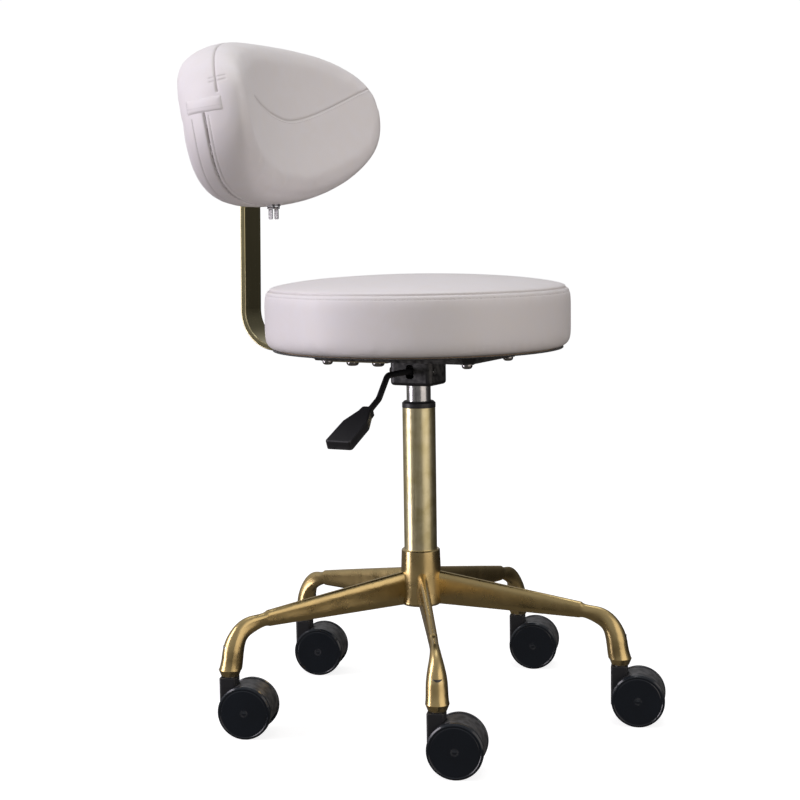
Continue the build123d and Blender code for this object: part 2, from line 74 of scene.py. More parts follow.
cam_data = bpy.data.cameras.new("camera")
cam_data.lens, cam_data.sensor_width, cam_data.clip_end = 77.22, 36.0, 30.0
camera = bpy.data.objects.new("camera", cam_data)
scene.collection.objects.link(camera)
p, y, r = radians(look_down), radians(look_aside), radians(lean)
ahead = Vector((sin(y) * cos(p), cos(y) * cos(p), -sin(p)))
across = Vector((cos(y), -sin(y), 0))
down = ahead.cross(across)
across, down = cos(r) * across + sin(r) * down, cos(r) * down - sin(r) * across
turned = Matrix((across, -down, -ahead)).transposed().to_4x4()
camera.matrix_world = (
    Matrix.Rotation(radians(view_from), 4, "Z") @ Matrix.Translation((0, -1.961, 0.5800)) @ turned
)
scene.camera = camera
print("camera at", [round(c, 3) for c in camera.matrix_world.translation])

# %% [markdown]
# ## Floor, air and lamps
#
# A studio is mostly big soft lamps. The key stands to the left of the view, so the covers turn
# from cool white on that side to a warm grey on the other, and a wide lamp overhead draws the
# bright line round the seat's shoulder. The air (the world) is what polished metal reflects.
# It is pale above and dark below the horizon, like a room with a dark floor, so the gold keeps
# deep lower edges, and a black screen stands off to the right, which the polished back bar
# mirrors. The floor is nearly white and barely takes a shadow.

# %% Small helpers for node trees
def wire(tree, start, end):
    """Link two sockets."""
    tree.links.new(start, end)
    return end


def node(tree, kind, spot=(0, 0), **settings):
    """Add a node, set its options, and give its sockets values by name or number."""
    n = tree.nodes.new(kind)
    n.location = spot
    values = settings.pop("values", {})
    for name, value in settings.items():
        setattr(n, name, value)
    for name, value in values.items():
        n.inputs[name].default_value = value
    return n


def fresh_tree(owner):
    owner.use_nodes = True
    owner.node_tree.nodes.clear()
    return owner.node_tree


# %% The air
world = bpy.data.worlds.new("studio_air")
scene.world = world
air = fresh_tree(world)
spot = node(air, "ShaderNodeTexCoord", (-1000, 0))
axes = node(air, "ShaderNodeSeparateXYZ", (-800, 0))
wire(air, spot.outputs["Generated"], axes.inputs[0])
height = node(air, "ShaderNodeMapRange", (-600, 100), interpolation_type="SMOOTHSTEP",
              values={"From Min": -0.25, "From Max": 0.35, "To Min": 0.0, "To Max": 1.0})
wire(air, axes.outputs["Z"], height.inputs["Value"])
tint = node(air, "ShaderNodeMix", (-400, 100), data_type="RGBA")
tint.inputs[6].default_value = (0.12, 0.11, 0.10, 1)
tint.inputs[7].default_value = (0.42, 0.42, 0.43, 1)
wire(air, height.outputs[0], tint.inputs[0])
flag = node(air, "ShaderNodeVectorMath", (-800, -200), operation="DOT_PRODUCT",
            values={1: (0.89, -0.45, 0.0)})
wire(air, spot.outputs["Generated"], flag.inputs[0])
screened = node(air, "ShaderNodeMapRange", (-600, -200), interpolation_type="SMOOTHSTEP",
                values={"From Min": 0.5, "From Max": 0.95, "To Min": 1.0, "To Max": 0.22})
wire(air, flag.outputs["Value"], screened.inputs["Value"])
lit = node(air, "ShaderNodeBackground", (-200, 100))
wire(air, tint.outputs[2], lit.inputs["Color"])
wire(air, screened.outputs[0], lit.inputs["Strength"])
seen = node(air, "ShaderNodeBackground", (-200, -80), values={"Color": (1, 1, 1, 1), "Strength": 1.02})
which = node(air, "ShaderNodeLightPath", (-200, 320))
mixed = node(air, "ShaderNodeMixShader", (20, 100))
wire(air, which.outputs["Is Camera Ray"], mixed.inputs[0])
wire(air, lit.outputs[0], mixed.inputs[1])
wire(air, seen.outputs[0], mixed.inputs[2])
wire(air, mixed.outputs[0], node(air, "ShaderNodeOutputWorld", (220, 100)).inputs["Surface"])
scene.view_settings.view_transform = "Standard"
print("air nodes:", len(air.nodes))

# %% The floor
floor_mesh = bpy.data.meshes.new("studio_floor")
reach = 14.0
floor_mesh.from_pydata([(-reach, -reach, 0), (reach, -reach, 0), (reach, reach, 0), (-reach, reach, 0)],
                       [], [(0, 1, 2, 3)])
floor = bpy.data.objects.new("studio_floor", floor_mesh)
scene.collection.objects.link(floor)
floor.visible_glossy = floor.visible_diffuse = False
paper = bpy.data.materials.new("studio_paper")
tree = fresh_tree(paper)
shader = node(tree, "ShaderNodeBsdfPrincipled", (0, 0), values={
    "Base Color": (0.5, 0.5, 0.5, 1), "Roughness": 0.9, "Specular IOR Level": 0.0,
    "Emission Color": (1, 1, 1, 1), "Emission Strength": 0.82})
wire(tree, shader.outputs[0], node(tree, "ShaderNodeOutputMaterial", (300, 0)).inputs["Surface"])
floor_mesh.materials.append(paper)

# %% The lamps
def lamp(name, at, aim, size, power, colour):
    data = bpy.data.lights.new(name, "AREA")
    data.shape, data.size, data.size_y = "RECTANGLE", size[0], size[1]
    data.energy, data.color = power, colour
    thing = bpy.data.objects.new(name, data)
    way = (Vector(aim) - Vector(at)).normalized()
    thing.matrix_world = Matrix.Translation(at) @ way.to_track_quat("-Z", "Y").to_matrix().to_4x4()
    scene.collection.objects.link(thing)
    return thing


lamp("key_lamp", (-1.35, 1.75, 0.75), (0, 0, 0.5), (0.8, 2.6), 42, (0.97, 0.91, 1.0))
lamp("top_lamp", (0.1, -0.1, 2.1), (0, 0, 0.3), (1.2, 1.2), 8, (1.0, 1.0, 1.0))
lamp("fill_lamp", (-0.7, -2.3, 0.8), (0, 0, 0.45), (2.4, 2.2), 17, (1.0, 0.90, 0.82))

# %% [markdown]
# ## Shared surface effects
#
# Four things happen to nearly every surface here: it has a fine grain, its colour drifts a
# little from place to place, its edges rub bright or bare, and dust settles where it faces up.
# Each is a node group, built once and placed in many materials with its own numbers. A group
# hands out only masks and heights. The shader that turns them into gloss or colour stays in
# each material, where it can be read at a glance.

# %% Start a node group
def effect(name, inputs, outputs):
    """An empty shader group. inputs is a list of (name, value), outputs a list of names."""
    group = bpy.data.node_groups.new(name, "ShaderNodeTree")
    for label, value in inputs:
        socket = group.interface.new_socket(label, in_out="INPUT", socket_type="NodeSocketFloat")
        socket.default_value = value
    for label in outputs:
        group.interface.new_socket(label, in_out="OUTPUT", socket_type="NodeSocketFloat")
    start, end = node(group, "NodeGroupInput", (-900, 0)), node(group, "NodeGroupOutput", (700, 0))
    place = node(group, "ShaderNodeTexCoord", (-900, -250)).outputs["Object"]
    return group, start.outputs, end.inputs, place


# %% Drift: slow change of tone
drift, put, out, place = effect("tone_drift", [("Patches per metre", 9), ("Low", 0.9), ("High", 1.05)],
                                ["Tone"])
cloud = node(drift, "ShaderNodeTexNoise", (-600, 0), values={"Detail": 5.0, "Roughness": 0.55})
wire(drift, place, cloud.inputs["Vector"])
wire(drift, put["Patches per metre"], cloud.inputs["Scale"])
spread = node(drift, "ShaderNodeMapRange", (-300, 0), values={"From Min": 0.3, "From Max": 0.7})
wire(drift, cloud.outputs[0], spread.inputs["Value"])
wire(drift, put["Low"], spread.inputs["To Min"])
wire(drift, put["High"], spread.inputs["To Max"])
wire(drift, spread.outputs[0], out["Tone"])

# %% Rub: edges worn by use, read from how sharply the surface turns
rub, put, out, place = effect("edge_rub", [("Edge", 0.54), ("Break up", 60)], ["Mask"])
turn = node(rub, "ShaderNodeNewGeometry", (-600, 150))
broken = node(rub, "ShaderNodeTexNoise", (-600, -100), values={"Detail": 4.0})
wire(rub, place, broken.inputs["Vector"])
wire(rub, put["Break up"], broken.inputs["Scale"])
sharp = node(rub, "ShaderNodeMapRange", (-300, 150), values={"From Max": 0.62})
wire(rub, turn.outputs["Pointiness"], sharp.inputs["Value"])
wire(rub, put["Edge"], sharp.inputs["From Min"])
patchy = node(rub, "ShaderNodeMapRange", (-300, -100), values={"From Min": 0.35, "From Max": 0.6})
wire(rub, broken.outputs[0], patchy.inputs["Value"])
both = node(rub, "ShaderNodeMath", (0, 0), operation="MULTIPLY", use_clamp=True)
wire(rub, sharp.outputs[0], both.inputs[0])
wire(rub, patchy.outputs[0], both.inputs[1])
wire(rub, both.outputs[0], out["Mask"])

# %% Dust: specks and film on faces that look up
dust, put, out, place = effect("settled_dust", [("Amount", 0.3), ("Specks per metre", 700)], ["Mask"])
facing = node(dust, "ShaderNodeNewGeometry", (-900, 250))
up = node(dust, "ShaderNodeSeparateXYZ", (-700, 250))
wire(dust, facing.outputs["Normal"], up.inputs[0])
top = node(dust, "ShaderNodeMapRange", (-500, 250), values={"From Min": -0.2, "From Max": 1.0})
wire(dust, up.outputs["Z"], top.inputs["Value"])
specks = node(dust, "ShaderNodeTexNoise", (-500, 0), values={"Detail": 6.0, "Roughness": 0.7})
wire(dust, place, specks.inputs["Vector"])
wire(dust, put["Specks per metre"], specks.inputs["Scale"])
only = node(dust, "ShaderNodeMapRange", (-250, 0), values={"From Min": 0.45, "From Max": 0.75})
wire(dust, specks.outputs[0], only.inputs["Value"])
film = node(dust, "ShaderNodeMath", (0, 100), operation="MULTIPLY")
wire(dust, top.outputs[0], film.inputs[0])
wire(dust, only.outputs[0], film.inputs[1])
amount = node(dust, "ShaderNodeMath", (250, 100), operation="MULTIPLY", use_clamp=True)
wire(dust, film.outputs[0], amount.inputs[0])
wire(dust, put["Amount"], amount.inputs[1])
wire(dust, amount.outputs[0], out["Mask"])

# %% Lines: the scratches that brushing and drawing leave, long one way and fine the other
lines, put, out, place = effect(
    "drawn_lines", [("Across X", 900), ("Across Y", 900), ("Along Z", 12)], ["Height", "Shade"])
apart = node(lines, "ShaderNodeSeparateXYZ", (-850, -100))
wire(lines, place, apart.inputs[0])
packed = node(lines, "ShaderNodeCombineXYZ", (-450, -100))
for axis, label in zip("XYZ", ("Across X", "Across Y", "Along Z")):
    times = node(lines, "ShaderNodeMath", (-650, -100), operation="MULTIPLY")
    wire(lines, apart.outputs[axis], times.inputs[0])
    wire(lines, put[label], times.inputs[1])
    wire(lines, times.outputs[0], packed.inputs[axis])
scratch = node(lines, "ShaderNodeTexNoise", (-250, 0), values={"Scale": 1.0, "Detail": 3.0})
wire(lines, packed.outputs[0], scratch.inputs["Vector"])
shade = node(lines, "ShaderNodeMapRange", (0, -120), values={"From Min": 0.3, "From Max": 0.7})
wire(lines, scratch.outputs[0], shade.inputs["Value"])
wire(lines, scratch.outputs[0], out["Height"])
wire(lines, shade.outputs[0], out["Shade"])

# %% Pebble: the fine raised grain of a coated cover or a textured moulding
pebble, put, out, place = effect("pebble_grain", [("Pebbles per metre", 900), ("Creases", 0.5)], ["Height"])
bend = node(pebble, "ShaderNodeTexNoise", (-650, -250), values={"Scale": 160.0, "Detail": 2.0})
wire(pebble, place, bend.inputs["Vector"])
moved = node(pebble, "ShaderNodeVectorMath", (-450, -150), operation="MULTIPLY_ADD",
             values={1: (0.004, 0.004, 0.004)})
wire(pebble, bend.outputs["Color"], moved.inputs[0])
wire(pebble, place, moved.inputs[2])
cells = node(pebble, "ShaderNodeTexVoronoi", (-250, 100), feature="SMOOTH_F1", values={"Smoothness": 0.6})
wire(pebble, moved.outputs[0], cells.inputs["Vector"])
wire(pebble, put["Pebbles per metre"], cells.inputs["Scale"])
creased = node(pebble, "ShaderNodeTexNoise", (-250, -150), values={"Scale": 380.0, "Detail": 4.0})
wire(pebble, moved.outputs[0], creased.inputs["Vector"])
weigh = node(pebble, "ShaderNodeMath", (0, -100), operation="MULTIPLY")
wire(pebble, creased.outputs[0], weigh.inputs[0])
wire(pebble, put["Creases"], weigh.inputs[1])
total = node(pebble, "ShaderNodeMath", (250, 0), operation="SUBTRACT")
wire(pebble, weigh.outputs[0], total.inputs[0])
wire(pebble, cells.outputs["Distance"], total.inputs[1])
wire(pebble, total.outputs[0], out["Height"])
print("effects:", [g.name for g in bpy.data.node_groups])

# %% [markdown]
# ## Metal finishes
#
# The gold is not one finish but three. The star is a casting, sanded and sprayed with tinted
# lacquer, so it is satin and darker in the hub's corners. The column tube is drawn steel,
# plated, with lines along its length. The back bar is polished like a mirror. One function
# makes a metal from its colour, roughness and line directions, so the three differ only in
# numbers, as they do in the works.

# %% A metal with drift, lines, rubbed edges and dust
def place_group(tree, group, spot, **values):
    n = node(tree, "ShaderNodeGroup", spot, node_tree=group)
    for name, value in values.items():
        n.inputs[name.replace("_", " ")].default_value = value
    return n


def blend_colour(tree, factor, a, b, spot, mode="MIX"):
    """Mix two colours, each a socket or four numbers."""
    n = node(tree, "ShaderNodeMix", spot, data_type="RGBA", blend_type=mode)
    for slot, value in ((0, factor), (6, a), (7, b)):
        if isinstance(value, bpy.types.NodeSocket):
            wire(tree, value, n.inputs[slot])
        else:
            n.inputs[slot].default_value = value
    return n.outputs[2]


def blend_value(tree, factor, low, high, spot):
    """low where factor is 0, high where it is 1."""
    n = node(tree, "ShaderNodeMapRange", spot, values={"To Min": low, "To Max": high})
    wire(tree, factor, n.inputs["Value"])
    return n.outputs[0]


def lift(tree, height, strength, distance, spot):
    n = node(tree, "ShaderNodeBump", spot, values={"Strength": strength, "Distance": distance})
    wire(tree, height, n.inputs["Height"])
    return n.outputs[0]


def metal(name, colour, worn, rough, along=(900, 900, 12), line_depth=0.00003, drift_scale=12,
          dust_amount=0.15, edge=0.54, coat=0.0):
    mat = bpy.data.materials.new(name)
    tree = fresh_tree(mat)
    tone = place_group(tree, drift, (-900, 200), Patches_per_metre=drift_scale, Low=0.0, High=1.0)
    hair = place_group(tree, lines, (-900, -100), Across_X=along[0], Across_Y=along[1], Along_Z=along[2])
    worn_edge = place_group(tree, rub, (-900, -350), Edge=edge)
    film = place_group(tree, dust, (-900, -600), Amount=dust_amount)
    dark = tuple(c * 0.84 for c in colour)
    base = blend_colour(tree, tone.outputs["Tone"], (*dark, 1), (*colour, 1), (-600, 200))
    base = blend_colour(tree, worn_edge.outputs["Mask"], base, (*worn, 1), (-400, 150))
    base = blend_colour(tree, film.outputs["Mask"], base, (0.55, 0.53, 0.50, 1), (-200, 100))
    gloss = blend_value(tree, hair.outputs["Shade"], rough * 0.8, rough * 1.25, (-400, -150))
    shader = node(tree, "ShaderNodeBsdfPrincipled", (100, 0), values={
        "Metallic": 1.0, "Coat Weight": coat, "Coat Roughness": 0.2})
    wire(tree, base, shader.inputs["Base Color"])
    wire(tree, gloss, shader.inputs["Roughness"])
    wire(tree, lift(tree, hair.outputs["Height"], 0.5, line_depth, (-150, -250)), shader.inputs["Normal"])
    wire(tree, shader.outputs[0], node(tree, "ShaderNodeOutputMaterial", (400, 0)).inputs["Surface"])
    return mat


# %% The metals
finishes = {
    "gold_cast": metal("satin_gold_casting", (0.60, 0.45, 0.20), (0.72, 0.58, 0.32), 0.28,
                       along=(45, 45, 45), line_depth=0.00001, drift_scale=16, dust_amount=0.02,
                       coat=0.25),
    "gold_tube": metal("drawn_gold_tube", (0.68, 0.59, 0.31), (0.78, 0.70, 0.44), 0.34,
                       along=(1500, 1500, 14), line_depth=0.00001, dust_amount=0.05),
    "gold_bar": metal("mirror_gold_bar", (0.64, 0.57, 0.33), (0.78, 0.70, 0.48), 0.08,
                      along=(700, 700, 30), line_depth=0.00001, dust_amount=0.05),
    "chrome": metal("hard_chrome", (0.46, 0.47, 0.48), (0.6, 0.6, 0.6), 0.22, along=(1200, 1200, 20),
                    line_depth=0.00001),
    "steel": metal("plain_steel", (0.42, 0.41, 0.40), (0.6, 0.6, 0.6), 0.36, along=(600, 600, 60)),
    "zinc": metal("bright_zinc", (0.34, 0.33, 0.33), (0.5, 0.5, 0.5), 0.26, along=(500, 500, 500),
                  drift_scale=120),
}
print("metals:", sorted(finishes))

# %% [markdown]
# ## Plastics, rubber, board and cloth
#
# The casters are glossy nylon. Glossy black shows almost nothing but its highlights, so what
# tells it from black metal is a little dust and the faint moulding ripple in those
# highlights. The lever and hoods are the same nylon with a satin skin.

# %% A black moulding or powder coat
def moulding(name, colour, rough, grain_scale, grain_depth, dust_amount=0.12, worn=(0.09, 0.09, 0.095),
             coat=0.0):
    mat = bpy.data.materials.new(name)
    tree = fresh_tree(mat)
    tone = place_group(tree, drift, (-900, 200), Patches_per_metre=25, Low=0.0, High=1.0)
    skin = place_group(tree, pebble, (-900, -100), Pebbles_per_metre=grain_scale, Creases=0.4)
    worn_edge = place_group(tree, rub, (-900, -350), Edge=0.55, Break_up=140)
    film = place_group(tree, dust, (-900, -600), Amount=dust_amount)
    light = tuple(c * 1.35 for c in colour)
    base = blend_colour(tree, tone.outputs["Tone"], (*colour, 1), (*light, 1), (-600, 200))
    base = blend_colour(tree, worn_edge.outputs["Mask"], base, (*worn, 1), (-400, 150))
    base = blend_colour(tree, film.outputs["Mask"], base, (0.10, 0.10, 0.10, 1), (-200, 100))
    gloss = blend_value(tree, film.outputs["Mask"], rough, min(1.0, rough + 0.3), (-200, -150))
    shader = node(tree, "ShaderNodeBsdfPrincipled", (100, 0), values={
        "Coat Weight": coat, "Coat Roughness": 0.08, "Specular IOR Level": 0.5})
    wire(tree, base, shader.inputs["Base Color"])
    wire(tree, gloss, shader.inputs["Roughness"])
    wire(tree, lift(tree, skin.outputs["Height"], 0.4, grain_depth, (-150, -300)), shader.inputs["Normal"])
    wire(tree, shader.outputs[0], node(tree, "ShaderNodeOutputMaterial", (400, 0)).inputs["Surface"])
    return mat


finishes["black_gloss"] = moulding("glossy_black_nylon", (0.006, 0.009, 0.014), 0.17, 120, 0.00002)
finishes["black_plastic"] = moulding("satin_black_nylon", (0.014, 0.014, 0.016), 0.42, 1500, 0.00005)
finishes["black_steel"] = moulding("black_powder_coat", (0.012, 0.012, 0.014), 0.40, 1100, 0.00006,
                                   worn=(0.16, 0.16, 0.16))
finishes["rubber"] = moulding("black_rubber", (0.03, 0.03, 0.03), 0.75, 900, 0.00006)

# %% Plywood: rings stretched into long grain, and plies on the edge
board = bpy.data.materials.new("birch_ply")
tree = fresh_tree(board)
grain = place_group(tree, lines, (-700, 0), Across_X=14, Across_Y=420, Along_Z=2400)
tone = place_group(tree, drift, (-700, -250), Patches_per_metre=20, Low=0.0, High=1.0)
wood = blend_colour(tree, grain.outputs["Shade"], (0.40, 0.26, 0.14, 1), (0.66, 0.50, 0.33, 1), (-400, 0))
wood = blend_colour(tree, tone.outputs["Tone"], wood, (0.58, 0.43, 0.28, 1), (-200, 0))
shader = node(tree, "ShaderNodeBsdfPrincipled", (100, 0), values={"Roughness": 0.7})
wire(tree, wood, shader.inputs["Base Color"])
wire(tree, lift(tree, grain.outputs["Height"], 0.5, 0.0001, (-150, -250)), shader.inputs["Normal"])
wire(tree, shader.outputs[0], node(tree, "ShaderNodeOutputMaterial", (400, 0)).inputs["Surface"])
finishes["board"] = board

# %% Thin black cloth: two crossed waves make the weave
cloth = bpy.data.materials.new("black_lining_cloth")
tree = fresh_tree(cloth)
warp = node(tree, "ShaderNodeTexWave", (-700, 100), bands_direction="X", values={"Scale": 320.0})
weft = node(tree, "ShaderNodeTexWave", (-700, -150), bands_direction="Y", values={"Scale": 320.0})
coords = node(tree, "ShaderNodeTexCoord", (-900, 0))
for wave in (warp, weft):
    wire(tree, coords.outputs["Object"], wave.inputs["Vector"])
weave = node(tree, "ShaderNodeMath", (-450, 0), operation="MULTIPLY")
wire(tree, warp.outputs["Fac"], weave.inputs[0])
wire(tree, weft.outputs["Fac"], weave.inputs[1])
ink = blend_colour(tree, weave.outputs[0], (0.008, 0.008, 0.008, 1), (0.035, 0.035, 0.036, 1), (-250, 0))
shader = node(tree, "ShaderNodeBsdfPrincipled", (100, 0), values={"Roughness": 0.9, "Sheen Weight": 0.3})
wire(tree, ink, shader.inputs["Base Color"])
wire(tree, lift(tree, weave.outputs[0], 0.6, 0.0002, (-150, -250)), shader.inputs["Normal"])
wire(tree, shader.outputs[0], node(tree, "ShaderNodeOutputMaterial", (400, 0)).inputs["Surface"])
finishes["cloth"] = cloth

# %% [markdown]
# ## The cover
#
# The seat and backrest wear the same off-white coated fabric: a soft sheet with a very fine
# pebble printed in it. It is nearly matt with a low sheen and picks up a little grey where hands
# and hair dye reach. Down in its seams, shade is painted into its colour: the cover reads one
# number that is stored on the mesh later, the painted seam shade, which grows with how deep a
# point lies in a seam.

# %% The cover's material
cover = bpy.data.materials.new("white_coated_cover")
tree = fresh_tree(cover)
# The painted seam shade that press() stores on the mesh: how much shade to paint in a seam
painted_seam_shade = node(tree, "ShaderNodeAttribute", (-900, 400), attribute_name="painted_seam_shade")
tone = place_group(tree, drift, (-900, 200), Patches_per_metre=7, Low=0.0, High=1.0)
marks = place_group(tree, drift, (-900, 0), Patches_per_metre=60, Low=0.0, High=1.0)
skin = place_group(tree, pebble, (-900, -200), Pebbles_per_metre=1100, Creases=0.8)
soil = place_group(tree, dust, (-900, -450), Amount=0.10, Specks_per_metre=300)
base = blend_colour(tree, tone.outputs["Tone"], (0.83, 0.80, 0.815, 1), (0.88, 0.85, 0.865, 1), (-600, 200))
base = blend_colour(tree, marks.outputs["Tone"], base, (0.86, 0.82, 0.815, 1), (-430, 150))
base = blend_colour(tree, soil.outputs["Mask"], base, (0.70, 0.66, 0.62, 1), (-260, 100))
# Painted shade: the colour goes to a dark grey down in the seams, by the painted seam shade
base = blend_colour(tree, painted_seam_shade.outputs["Fac"], base, (0.50, 0.46, 0.45, 1), (-90, 100))
gloss = blend_value(tree, tone.outputs["Tone"], 0.40, 0.50, (-260, -150))
shader = node(tree, "ShaderNodeBsdfPrincipled", (150, 0), values={
    "Specular IOR Level": 0.5, "Sheen Weight": 0.10, "Sheen Roughness": 0.4})
wire(tree, base, shader.inputs["Base Color"])
wire(tree, gloss, shader.inputs["Roughness"])
wire(tree, lift(tree, skin.outputs["Height"], 0.35, 0.00008, (-100, -300)), shader.inputs["Normal"])
wire(tree, shader.outputs[0], node(tree, "ShaderNodeOutputMaterial", (450, 0)).inputs["Surface"])
finishes["cover"] = cover

# %% Sewing thread: a twist of two plies, seen as slanting bands
thread = bpy.data.materials.new("white_thread")
tree = fresh_tree(thread)
coords = node(tree, "ShaderNodeTexCoord", (-700, 0))
twist = node(tree, "ShaderNodeTexWave", (-500, 0), bands_direction="DIAGONAL",
             values={"Scale": 700.0, "Distortion": 1.0})
wire(tree, coords.outputs["Object"], twist.inputs["Vector"])
ply = blend_colour(tree, twist.outputs["Fac"], (0.62, 0.59, 0.59, 1), (0.86, 0.83, 0.83, 1), (-250, 0))
shader = node(tree, "ShaderNodeBsdfPrincipled", (0, 0), values={"Roughness": 0.6, "Sheen Weight": 0.2})
wire(tree, ply, shader.inputs["Base Color"])
wire(tree, lift(tree, twist.outputs["Fac"], 0.4, 0.0001, (-200, -200)), shader.inputs["Normal"])
wire(tree, shader.outputs[0], node(tree, "ShaderNodeOutputMaterial", (300, 0)).inputs["Surface"])

# %% Put each finish on the CAD pieces that carry it
for part in frame["record"]["subparts"]:
    thing = frame["nodes"][part["node"]]
    if not thing.material_slots:
        thing.data.materials.append(finishes[part["material_slot"]])
    for slot in thing.material_slots:
        slot.material = finishes[part["material_slot"]]

# %% [markdown]
# ## Making a sewn cushion
#
# A cushion is foam in a tight bag. Modelled as a smooth solid it looks like soap: what makes
# it read as a cushion is that the sheet is held at its seams and swells between them. So each
# one is made in the order a maker would work. First comes a closed form, close to the finished
# size. It is remeshed into even squares and blown up by a short cloth simulation
# with its seam lines pinned, like filling a bag. Then the seams are pressed in, the places
# near them are divided finer so the creases stay crisp, and last come the stitches.

# %% Build a closed form from rings
def closed_form(name, rings, start, end):
    """A solid skin over rings of points, closed at both ends by a pole point."""
    mesh = bpy.data.meshes.new(name)
    bm = bmesh.new()
    rows = [[bm.verts.new(p) for p in ring] for ring in rings]
    count = len(rings[0])
    for low, high in zip(rows, rows[1:]):
        for i in range(count):
            j = (i + 1) % count
            bm.faces.new((low[i], low[j], high[j], high[i]))
    for pole, row in ((start, rows[0]), (end, rows[-1])):
        tip = bm.verts.new(pole)
        for i in range(count):
            bm.faces.new((row[i], row[(i + 1) % count], tip))
    bmesh.ops.recalc_face_normals(bm, faces=bm.faces)
    bm.to_mesh(mesh)
    bm.free()
    thing = bpy.data.objects.new(name, mesh)
    scene.collection.objects.link(thing)
    return thing


def settle(thing):
    """Replace an object's mesh by what its modifiers make of it, and drop the modifiers."""
    bpy.context.view_layer.update()
    depth = bpy.context.evaluated_depsgraph_get()
    made = bpy.data.meshes.new_from_object(thing.evaluated_get(depth), depsgraph=depth)
    thing.modifiers.clear()
    old, thing.data = thing.data, made
    bpy.data.meshes.remove(old)
    return thing


# %% Fill the bag
def nearest_on(points):
    tree = KDTree(len(points))
    for i, point in enumerate(points):
        tree.insert(point, i)
    tree.balance()
    return tree


def fill(thing, seams, hold, voxel, push, cap):
    """Remesh, pin near the seam lines and where hold(point) is true, blow up, and keep every point
    within cap of where it began."""
    remesh = thing.modifiers.new("remesh", "REMESH")
    remesh.mode, remesh.voxel_size, remesh.adaptivity = "VOXEL", voxel, 0.0
    even = thing.modifiers.new("even", "SMOOTH")
    even.iterations, even.factor = 3, 0.5
    settle(thing)
    mesh = thing.data
    line = nearest_on([p for seam in seams for p in seam])
    pins = thing.vertex_groups.new(name="held")
    for v in mesh.vertices:
        if hold(v.co) or line.find(v.co)[2] < voxel * 0.75:
            pins.add([v.index], 1.0, "REPLACE")
    before = [v.co.copy() for v in mesh.vertices]
    bag = thing.modifiers.new("bag", "CLOTH")
    bag.settings.quality, bag.settings.mass = 5, 0.3
    bag.settings.tension_stiffness = bag.settings.compression_stiffness = 12
    bag.settings.shear_stiffness, bag.settings.bending_stiffness = 6, 1.5
    bag.settings.use_pressure, bag.settings.uniform_pressure_force = True, push
    bag.settings.vertex_group_mass = "held"
    bag.settings.effector_weights.gravity = 0
    bag.collision_settings.use_collision = False
    for step in range(1, 21):
        scene.frame_set(step)
    settle(thing)
    for v, start in zip(thing.data.vertices, before):
        move = v.co - start
        if move.length > cap:
            v.co = start + move.normalized() * cap
    scene.frame_set(1)
    thing.vertex_groups.clear()
    relax = thing.modifiers.new("relax", "SMOOTH")
    relax.iterations, relax.factor = 4, 0.5
    finer = thing.modifiers.new("finer", "SUBSURF")
    finer.levels = finer.render_levels = 1
    return settle(thing)


# %% Press seams in
def on_surface(thing, points, lift_off=0.0):
    """Each point moved to the nearest place on the object's skin, raised by lift_off."""
    skin = BVHTree.FromObject(thing, bpy.context.evaluated_depsgraph_get())
    found = []
    for point in points:
        place, normal, _, _ = skin.find_nearest(point)
        found.append(place + normal * lift_off)
    return found


def press(thing, seams, passes=((0.0065, 1), (0.0035, 1))):
    """seams: list of (points, depth, half width). Divides the skin finer near them, sinks it, and stores on
    each point how much shade to paint there.
    """
    lines = [(nearest_on(points), depth, width) for points, depth, width in seams]
    bm = bmesh.new()
    bm.from_mesh(thing.data)
    for reach, cuts in passes:
        close = {v for v in bm.verts if min(tree.find(v.co)[2] for tree, _, _ in lines) < reach}
        edges = [e for e in bm.edges if e.verts[0] in close and e.verts[1] in close]
        bmesh.ops.subdivide_edges(bm, edges=edges, cuts=cuts, use_grid_fill=True, smooth=0.0)
    bm.normal_update()
    # Painted shade: how dark the cover is painted at each point, more in deeper seams
    shade = bm.verts.layers.float.new("painted_seam_shade")
    moves = []
    for v in bm.verts:
        sink = dark = 0.0
        for tree, depth, width in lines:
            d = tree.find(v.co)[2] / width
            if d < 4:
                fall = 2.718 ** (-d * d)
                sink = max(sink, depth * fall)
                dark = max(dark, fall * min(1.0, depth / 0.0024))
        v[shade] = dark
        moves.append((v, v.normal.copy() * -sink))
    for v, move in moves:
        v.co += move
    bmesh.ops.triangulate(bm, faces=[f for f in bm.faces if len(f.verts) > 4])
    for f in bm.faces:
        f.smooth = True
    bm.to_mesh(thing.data)
    bm.free()
    thing.data.update()
    return thing


def total_length(points):
    return sum((b - a).length for a, b in zip(points, points[1:]))

# %% [markdown]
# ## Rows of stitches
#
# A stitch line is one short arched thread, repeated along a seam. Placing hundreds by hand
# would be hopeless, and a texture would go blurry close up, so Geometry Nodes lay them. The
# seam is a chain of edges that carries, at each point, the direction away from the skin. The
# tree turns it into a curve, cuts it to the stitch pitch, and stands one small arch on every
# point, turned along the seam and away from the skin. Zip teeth and staples are the same idea
# with other sizes, so one tree makes all three.

# %% The tree
row = bpy.data.node_groups.new("row_along_seam", "GeometryNodeTree")
row.is_modifier = True
for label, kind, value in (("Seam", "Geometry", None), ("Pitch", "Float", 0.0035),
                           ("Length", "Float", 0.0026), ("Thread radius", "Float", 0.0003),
                           ("Arch", "Float", 0.0006), ("Turn", "Float", 0.0),
                           ("Finish", "Material", None)):
    socket = row.interface.new_socket(label, in_out="INPUT", socket_type=f"NodeSocket{kind}")
    if value is not None:
        socket.default_value = value
row.interface.new_socket("Stitches", in_out="OUTPUT", socket_type="NodeSocketGeometry")
put = node(row, "NodeGroupInput", (-1200, 0)).outputs
chain = node(row, "GeometryNodeMeshToCurve", (-950, 200))
wire(row, put["Seam"], chain.inputs["Mesh"])
cut = node(row, "GeometryNodeResampleCurve", (-750, 200), mode="LENGTH")
wire(row, chain.outputs[0], cut.inputs["Curve"])
wire(row, put["Pitch"], cut.inputs["Length"])

